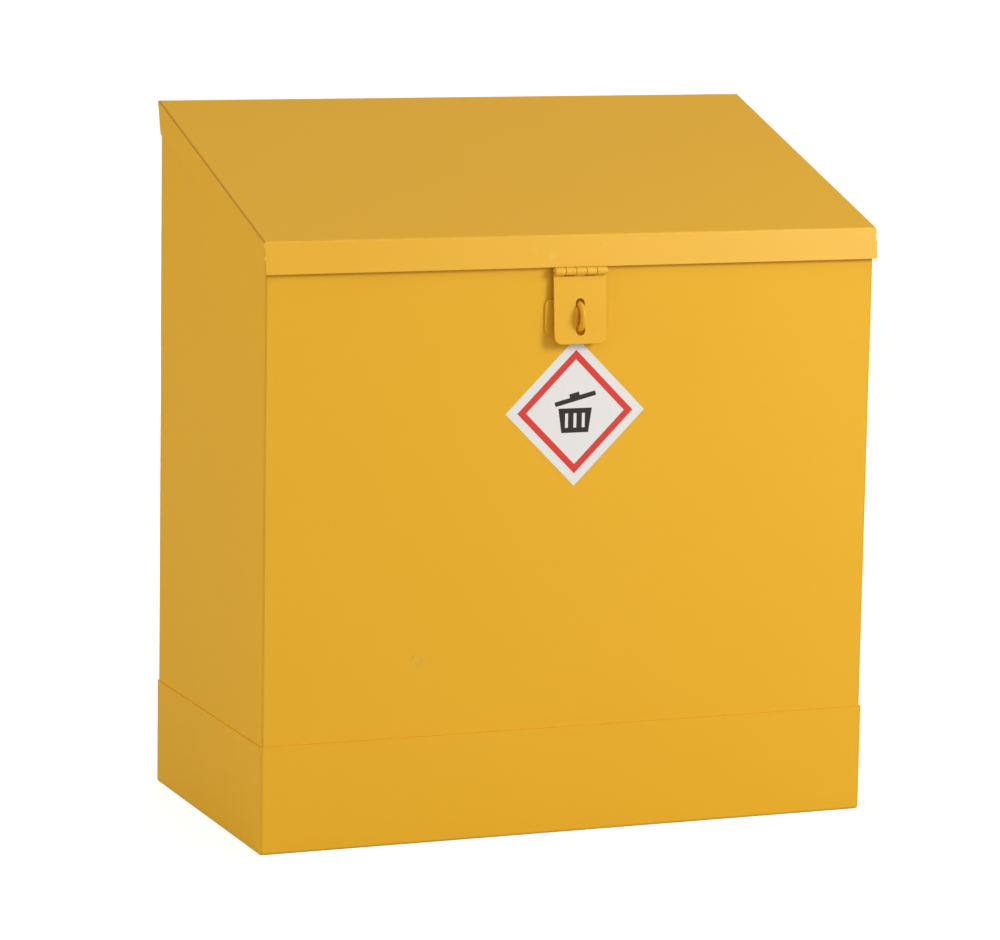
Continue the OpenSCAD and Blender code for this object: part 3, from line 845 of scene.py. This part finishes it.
hingeShape = {"width": 80 * mm, "knuckles": 5, "gap": 0.6 * mm, "radius": 3.5 * mm, "offset": 3.9 * mm,
              "leaf": 1.6 * mm, "leafTop": 4 * mm, "leafLength": 32 * mm, "pin": 1.75 * mm,
              "ease": 0.4 * mm, "cornerRadius": 3 * mm, "strapOver": 1 * mm,
              "spotPitch": 26 * mm, "spotDrop": 19 * mm, "spotRadius": 5 * mm, "spotHeight": 1 * mm}


def plateTurn():
    return Matrix.Rotation(math.radians(90), 4, "X")


# one leaf about its own axis, hanging down; first is the number of its first knuckle
def hingeLeaf(name, first, moved):
    shape = hingeShape
    pitch = shape["width"] / shape["knuckles"]
    depth = -shape["offset"] + shape["leaf"] / 2
    outline = roundedOutline(shape["width"], -shape["leafTop"], -shape["leafLength"],
                             0, shape["cornerRadius"])
    leaf = cutPlate(name, [outline], shape["leaf"], shape["ease"])
    settle(leaf, finish["yellowCoat"], moved @ Matrix.Translation((0, depth, 0)) @ plateTurn())
    row = grow(name + "Row", "knuckles", meshOf(name, [(0, 0, 0)], []), {
        "Count": (shape["knuckles"] + 1 - first) // 2, "Pitch": 2 * pitch,
        "Begin": -shape["width"] / 2 + pitch * (first + 0.5), "Length": pitch - shape["gap"],
        "Radius": shape["radius"], "Ease": shape["ease"], "Strap Depth": depth,
        "Strap Thickness": shape["leaf"], "Strap Height": shape["leafTop"] + shape["strapOver"]}, moved)
    points = [(i * shape["spotPitch"], depth + shape["leaf"] / 2, -shape["spotDrop"]) for i in (-1, 0, 1)]
    spots = grow(name + "Spots", "spots", spotMesh(name + "Spots", points, (0, 1, 0)), {
        "Radius": shape["spotRadius"], "Height": shape["spotHeight"]}, moved)
    return joinPieces(leaf, row, spots)


# a pin is one barrel, and its strap is small enough to stay inside it
def pinBarrel(name, radius, length, moved, material, easeShare=0.25):
    return grow(name, "knuckles", meshOf(name, [(0, 0, 0)], []), {
        "Count": 1, "Pitch": 0.0, "Begin": 0.0, "Length": length, "Radius": radius,
        "Ease": easeShare * radius, "Strap Depth": 0.0, "Strap Thickness": radius,
        "Strap Height": radius / 2},
        moved, material)


def makeRearHinges():
    for side in ("left", "centre", "right"):
        low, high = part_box(side + "_hinge_pin")
        at = Matrix.Translation(((low + high) / 2))
        fixed = hingeLeaf(side + "FixedLeaf", 0, at)
        moving = hingeLeaf(side + "MovingLeaf", 1, at @ Matrix.Rotation(slope - math.pi / 2, 4, "X"))
        pin = pinBarrel(side + "HingePin", hingeShape["pin"], hingeShape["width"], at, "platedSteel")
        for piece, node, slot, body in ((fixed, "_fixed_leaf", "yellow_paint", "bin"),
                                        (moving, "_moving_leaf", "yellow_paint", "lid"),
                                        (pin, "_hinge_pin", "plated_steel", "bin")):
            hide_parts(side + node)
            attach(piece, body)


makeRearHinges()

haspShape = {"width": 77 * mm, "length": 100 * mm, "thickness": 3 * mm, "corner": 11 * mm,
             "radius": 5.5 * mm, "knuckles": 5, "gap": 0.6 * mm, "plateTop": 6.8 * mm, "lean": 5,
             "slotWidth": 13 * mm, "slotHeight": 51 * mm, "slotDrop": 63 * mm, "ease": 0.7 * mm,
             "leaf": 2.5 * mm, "leafHeight": 18 * mm, "strapInset": 0.1 * mm, "pin": 2.5 * mm,
             "head": 4.4 * mm, "headLength": 1.5 * mm, "strapOver": 1 * mm, "leafStrap": 0.5 * mm,
             "leafEase": 0.4 * mm}


def haspKnuckles(name, first, count, moved, strap):
    shape = haspShape
    pitch = shape["width"] / shape["knuckles"]
    return grow(name, "knuckles", meshOf(name, [(0, 0, 0)], []), {
        "Count": count, "Pitch": 2 * pitch, "Begin": -shape["width"] / 2 + pitch * (first + 0.5),
        "Length": pitch - shape["gap"], "Radius": shape["radius"], "Ease": shape["ease"],
        "Strap Depth": shape["radius"] - shape["thickness"] / 2, "Strap Thickness": shape["thickness"],
        "Strap Height": strap}, moved)


def makeHasp():
    shape = haspShape
    at = Matrix.Translation(haspAxis)
    hung = at @ Matrix.Rotation(math.radians(-shape["lean"]), 4, "X")
    outline = roundedOutline(shape["width"], -shape["plateTop"], -shape["length"], 0, shape["corner"])
    slotHalf = shape["slotHeight"] / 2
    slot = slotOutline(shape["slotWidth"], -shape["slotDrop"] - slotHalf, -shape["slotDrop"] + slotHalf)
    plate = cutPlate("haspPlate", [outline, slot], shape["thickness"], shape["ease"])
    inset = Matrix.Translation((0, shape["radius"] - shape["thickness"] / 2, 0))
    settle(plate, finish["yellowCoat"], hung @ inset @ plateTurn())
    joinPieces(plate, haspKnuckles("plateKnuckles", 0, 3, hung, shape["plateTop"] + shape["strapOver"]))
    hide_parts("hasp_plate")
    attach(plate, "hasp")

    lipUp = Vector((0, lidShape["lipSplay"], lidShape["lipHeight"])).normalized()
    lipIn = Vector((0, lipUp.z, -lipUp.y))
    foot = lidFront + Vector((0, -lidShape["lipSplay"], -lidShape["lipHeight"])) + lipIn * lidShape["sheet"]
    back = foot + lipIn * shape["leaf"]
    up = lipUp * shape["leafHeight"]
    leaf = prism("haspLeaf", [(p.y, p.z) for p in (foot, foot + up, back + up, back)], shape["width"])
    easeEdges(leaf, shape["leafEase"])
    settle(leaf, finish["yellowCoat"])
    pitch = shape["width"] / shape["knuckles"]
    barrel = [(haspAxis.y + shape["radius"] - shape["strapInset"], haspAxis.z),
              (haspAxis.y + shape["pin"], haspAxis.z)]
    parts = [haspKnuckles("leafKnuckles", 1, 2, at, shape["leafStrap"])]
    for side in (-1, 1):
        outline = [(foot.y, foot.z), (back.y, back.z)] + barrel
        strap = prism("leafStrap", outline, pitch - shape["gap"], side * pitch)
        parts.append(settle(strap, finish["yellowCoat"]))
    joinPieces(leaf, *parts)
    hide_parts("hasp_leaf")
    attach(leaf, "lid")

    pin = pinBarrel("haspPin", shape["pin"], shape["width"], at, "platedSteel")
    heads = []
    for side in (-1, 1):
        x = side * (shape["width"] + shape["headLength"] - shape["gap"]) / 2
        heads.append(pinBarrel("haspPinHead", shape["head"], shape["headLength"],
                               at @ Matrix.Translation((x, 0, 0)), "yellowCoat"))
    joinPieces(pin, *heads)
    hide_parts("hasp_pin")
    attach(pin, "hasp")


makeHasp()
print("hinges and hasp made")

stapleShape = {"plateWidth": 96 * mm, "plateHeight": 48 * mm, "plate": 3 * mm, "corner": 8 * mm,
               "backWidth": 70 * mm, "backHeight": 60 * mm, "back": 3 * mm, "rod": 4 * mm, "eye": 17.5 * mm,
               "ease": 0.6 * mm, "beadStep": 1.4 * mm, "beadWidth": 2.6 * mm, "beadHeight": 1.2 * mm,
               "beadOut": 0.3 * mm, "beadSeed": 7, "bendSteps": 28, "ringSteps": 24}


def makeStaple():
    shape = stapleShape
    low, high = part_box("staple_loop")
    z = (low.z + high.z) / 2
    eyeY = low.y + shape["eye"] + shape["rod"]
    for name, node, wide, tall, thick in (
            ("staplePlate", "staple_plate",
             shape["plateWidth"], shape["plateHeight"], shape["plate"]),
            ("backingPlate", "staple_backing_plate",
             shape["backWidth"], shape["backHeight"], shape["back"])):
        boxLow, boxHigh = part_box(node)
        outline = roundedOutline(wide, tall / 2, -tall / 2, shape["corner"], shape["corner"])
        plate = cutPlate(name, [outline], thick, shape["ease"])
        centre = (boxLow + boxHigh) / 2
        settle(plate, finish["yellowCoat"], Matrix.Translation(centre) @ plateTurn())
        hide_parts(node)
        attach(plate, "bin")
    bend = arc((eyeY, z), shape["eye"], 90, 270, shape["bendSteps"])
    path = [(0, high.y, z + shape["eye"])] + [(0, y, h) for y, h in bend] + [(0, high.y, z - shape["eye"])]
    loop = grow("stapleLoop", "rod", pathMesh("stapleLoop", [path]), {"Radius": shape["rod"]})
    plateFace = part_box("staple_plate")[0].y
    rings = []
    for side in (-1, 1):
        centre = (0, z + side * shape["eye"])
        ring = arc(centre, shape["rod"] + shape["beadOut"], 0, 360, shape["ringSteps"])[:-1]
        rings.append([(x, plateFace, h) for x, h in ring])
    beads = grow("stapleBeads", "bead", pathMesh("stapleBeads", rings, True), {
        "Step": shape["beadStep"], "Width": shape["beadWidth"], "Height": shape["beadHeight"],
        "Seed": shape["beadSeed"]})
    joinPieces(loop, beads)
    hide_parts("staple_loop")
    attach(loop, "bin")


makeStaple()

# a plain white sheet with a red band and a bin icon of its own
signShape = {"bandOuter": 85.8 * mm, "bandInner": 72.8 * mm, "ink": 0.03 * mm, "ease": 0.08 * mm,
             "binWidth": 50 * mm, "binHeight": 34 * mm, "binDrop": 29 * mm, "binTaper": 5 * mm,
             "lidWidth": 62 * mm, "lidHeight": 6.5 * mm, "lidTurn": 14, "lidLift": 18 * mm,
             "slotWidth": 4.4 * mm, "slotHeight": 20 * mm, "slotPitch": 12.5 * mm,
             "knobWidth": 15 * mm, "knobHeight": 5 * mm}


def diamond(reach):
    return [(reach, 0), (0, reach), (-reach, 0), (0, -reach)]


# flat faces for an outline and its holes, in the plane of the sign
def flatShape(outlines, depth, materialIndex):
    loops = [[Vector((x, z, 0)) for x, z in outline] for outline in outlines]
    points = [p for loop in loops for p in loop]
    triangles = tessellate_polygon(loops)
    return [(p.x, depth, p.y) for p in points], triangles, materialIndex


def makeSign():
    shape = signShape
    low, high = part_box("sign_sheet")
    reach = high.x
    centre = Vector((0, 0, (low.z + high.z) / 2))
    sheet = cutPlate("signSheet", [diamond(reach)], high.y - low.y, shape["ease"])
    middle = centre + Vector((0, (low.y + high.y) / 2, 0))
    settle(sheet, finish["signWhite"], Matrix.Translation(middle) @ plateTurn())
    x = shape["binWidth"] / 2
    top = -shape["binDrop"] + shape["binHeight"]
    taper = shape["binTaper"]
    body = [(-x, top), (-x + taper, -shape["binDrop"]), (x - taper, -shape["binDrop"]), (x, top)]
    square = ((-1, -1), (1, -1), (1, 1), (-1, 1))
    level = -shape["binDrop"] + shape["binHeight"] / 2
    slots = [[(i * shape["slotPitch"] + sx * shape["slotWidth"] / 2, level + sz * shape["slotHeight"] / 2)
              for sx, sz in square] for i in (-1, 0, 1)]
    turn = Matrix.Rotation(math.radians(shape["lidTurn"]), 2)
    lidParts = []
    knobLift = (shape["lidHeight"] + shape["knobHeight"]) / 2
    for wide, tall, lift in ((shape["lidWidth"], shape["lidHeight"], 0),
                             (shape["knobWidth"], shape["knobHeight"], knobLift)):
        box = [Vector((sx * wide / 2, lift + sz * tall / 2)) for sx, sz in square]
        lidParts.append([tuple(turn @ p + Vector((0, shape["lidLift"]))) for p in box])
    inks = [flatShape([diamond(shape["bandOuter"]), diamond(shape["bandInner"])], -shape["ink"], 0),
            flatShape([body] + slots, -shape["ink"], 1)]
    inks += [flatShape([part], -shape["ink"], 1) for part in lidParts]
    points = []
    faces = []
    marks = []
    for shapePoints, triangles, index in inks:
        start = len(points)
        points += [Vector(p) + Vector((0, low.y, centre.z)) for p in shapePoints]
        faces += [[start + i for i in triangle] for triangle in triangles]
        marks += [index] * len(triangles)
    printed = newPiece("signPrint", meshOf("signPrint", points, faces))
    for name in ("signRed", "signBlack"):
        printed.data.materials.append(finish[name])
    printed.data.polygons.foreach_set("material_index", marks)
    work = bmesh.new()
    work.from_mesh(printed.data)
    for face in work.faces:
        if face.normal.y > 0:
            face.normal_flip()
    work.to_mesh(printed.data)
    work.free()
    for label in ("edge", "fold"):
        printed.data.attributes.new(label, "FLOAT", "FACE")
    joinPieces(sheet, printed)
    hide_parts("sign_sheet")
    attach(sheet, "bin")


makeSign()
print("staple and sign made")

cameraView = {"lens": 155.46, "sensor": 36.0, "place": Vector((-2.288, -5.637, 1.444)),
              "turn": 21.92, "tilt": 9.041, "roll": 0.996}


def addCamera():
    view = cameraView
    turn, tilt, roll = (math.radians(view[n]) for n in ("turn", "tilt", "roll"))
    ahead = Vector((math.sin(turn) * math.cos(tilt), math.cos(turn) * math.cos(tilt), -math.sin(tilt)))
    right = Vector((math.cos(turn), -math.sin(turn), 0))
    up = right.cross(ahead)
    x = right * math.cos(roll) + up * math.sin(roll)
    y = up * math.cos(roll) - right * math.sin(roll)
    data = bpy.data.cameras.new("camera")
    data.lens = view["lens"]
    data.sensor_width = view["sensor"]
    camera = bpy.data.objects.new("camera", data)
    bpy.context.scene.collection.objects.link(camera)
    camera.matrix_world = Matrix.Translation(view["place"]) @ Matrix((x, y, -ahead)).transposed().to_4x4()
    bpy.context.scene.camera = camera


lights = {
    "key": {"from": Vector((3.05, -3.45, 2.55)), "size": 1.5, "power": 133.0,
            "color": (1.0, 1.0, 1.0), "diffuse": True, "glossy": True},
    "leftFill": {"from": Vector((-4.0, -0.2, 0.8)), "size": 2.4, "power": 54.0,
                 "color": (1.0, 1.0, 1.0), "diffuse": True, "glossy": False},
    "backFill": {"from": Vector((1.4, 4.6, 1.2)), "size": 2.6, "power": 75.0,
                 "color": (1.0, 1.0, 1.0), "diffuse": True, "glossy": False},
    "sheen": {"from": Vector((2.9, -4.75, 1.9)), "size": 1.4, "power": 24.0,
              "color": (1.0, 0.98, 0.72), "diffuse": False, "glossy": True},
}
worldLight = {"color": (1.0, 0.99, 0.97), "strength": 0.59, "reflected": 0.2}
floorShape = {"size": 200.0, "drop": 0.2 * mm, "color": (0.62, 0.615, 0.605), "rough": 0.8, "glow": 0.72,
              "reflected": (0.22, 0.218, 0.215)}


def addLights():
    target = Vector((0, 0, 0.5))
    for name, light in lights.items():
        data = bpy.data.lights.new(name, "AREA")
        data.shape = "SQUARE"
        data.size = light["size"]
        data.energy = light["power"]
        data.color = light["color"]
        lamp = bpy.data.objects.new(name, data)
        lamp.visible_diffuse = light["diffuse"]
        lamp.visible_glossy = light["glossy"]
        bpy.context.scene.collection.objects.link(lamp)
        aim = (target - light["from"]).to_track_quat("-Z", "Y")
        lamp.matrix_world = Matrix.Translation(light["from"]) @ aim.to_matrix().to_4x4()
    world = bpy.data.worlds.new("studio")
    bpy.context.scene.world = world
    world.use_nodes = True
    tree = world.node_tree
    sky = tree.nodes["Background"]
    sky.inputs["Color"].default_value = rgba(worldLight["color"])
    sky.inputs["Strength"].default_value = worldLight["strength"]
    plain = addNode(tree, "ShaderNodeBackground", {"Color": (1, 1, 1, 1), "Strength": 1.0})
    dim = addNode(tree, "ShaderNodeBackground",
                  {"Color": rgba(worldLight["color"]), "Strength": worldLight["reflected"]})
    rays = addNode(tree, "ShaderNodeLightPath").outputs
    lit = addNode(tree, "ShaderNodeMixShader",
                  {0: rays["Is Glossy Ray"], 1: sky.outputs[0], 2: dim.outputs[0]})
    mix = addNode(tree, "ShaderNodeMixShader",
                  {0: rays["Is Camera Ray"], 1: lit.outputs[0], 2: plain.outputs[0]})
    tree.links.new(mix.outputs[0], tree.nodes["World Output"].inputs["Surface"])


def addFloor():
    half = floorShape["size"] / 2
    z = cadLow.z - floorShape["drop"]
    points = [(-half, -half, z), (half, -half, z), (half, half, z), (-half, half, z)]
    floor = newPiece("floor", meshOf("floor", points, [[0, 1, 2, 3]]))
    material = bpy.data.materials.new("floorPaper")
    material.use_nodes = True
    tree = material.node_tree
    shader = tree.nodes["Principled BSDF"]
    shader.inputs["Base Color"].default_value = rgba(floorShape["color"])
    shader.inputs["Roughness"].default_value = floorShape["rough"]
    glow = addNode(tree, "ShaderNodeEmission", {"Color": (1, 1, 1, 1), "Strength": floorShape["glow"]})
    both = addNode(tree, "ShaderNodeAddShader", {0: shader.outputs[0], 1: glow.outputs[0]})
    dim = addNode(tree, "ShaderNodeBsdfDiffuse", {"Color": rgba(floorShape["reflected"])})
    rays = addNode(tree, "ShaderNodeLightPath").outputs
    lit = addNode(tree, "ShaderNodeMixShader",
                  {0: rays["Is Glossy Ray"], 1: shader.outputs[0], 2: dim.outputs[0]})
    mix = addNode(tree, "ShaderNodeMixShader",
                  {0: rays["Is Camera Ray"], 1: lit.outputs[0], 2: both.outputs[0]})
    tree.links.new(mix.outputs[0], tree.nodes["Material Output"].inputs["Surface"])
    floor.data.materials.append(material)


addCamera()
addLights()
addFloor()
bpy.context.scene.view_settings.view_transform = "Standard"
print("camera, floor and light set")
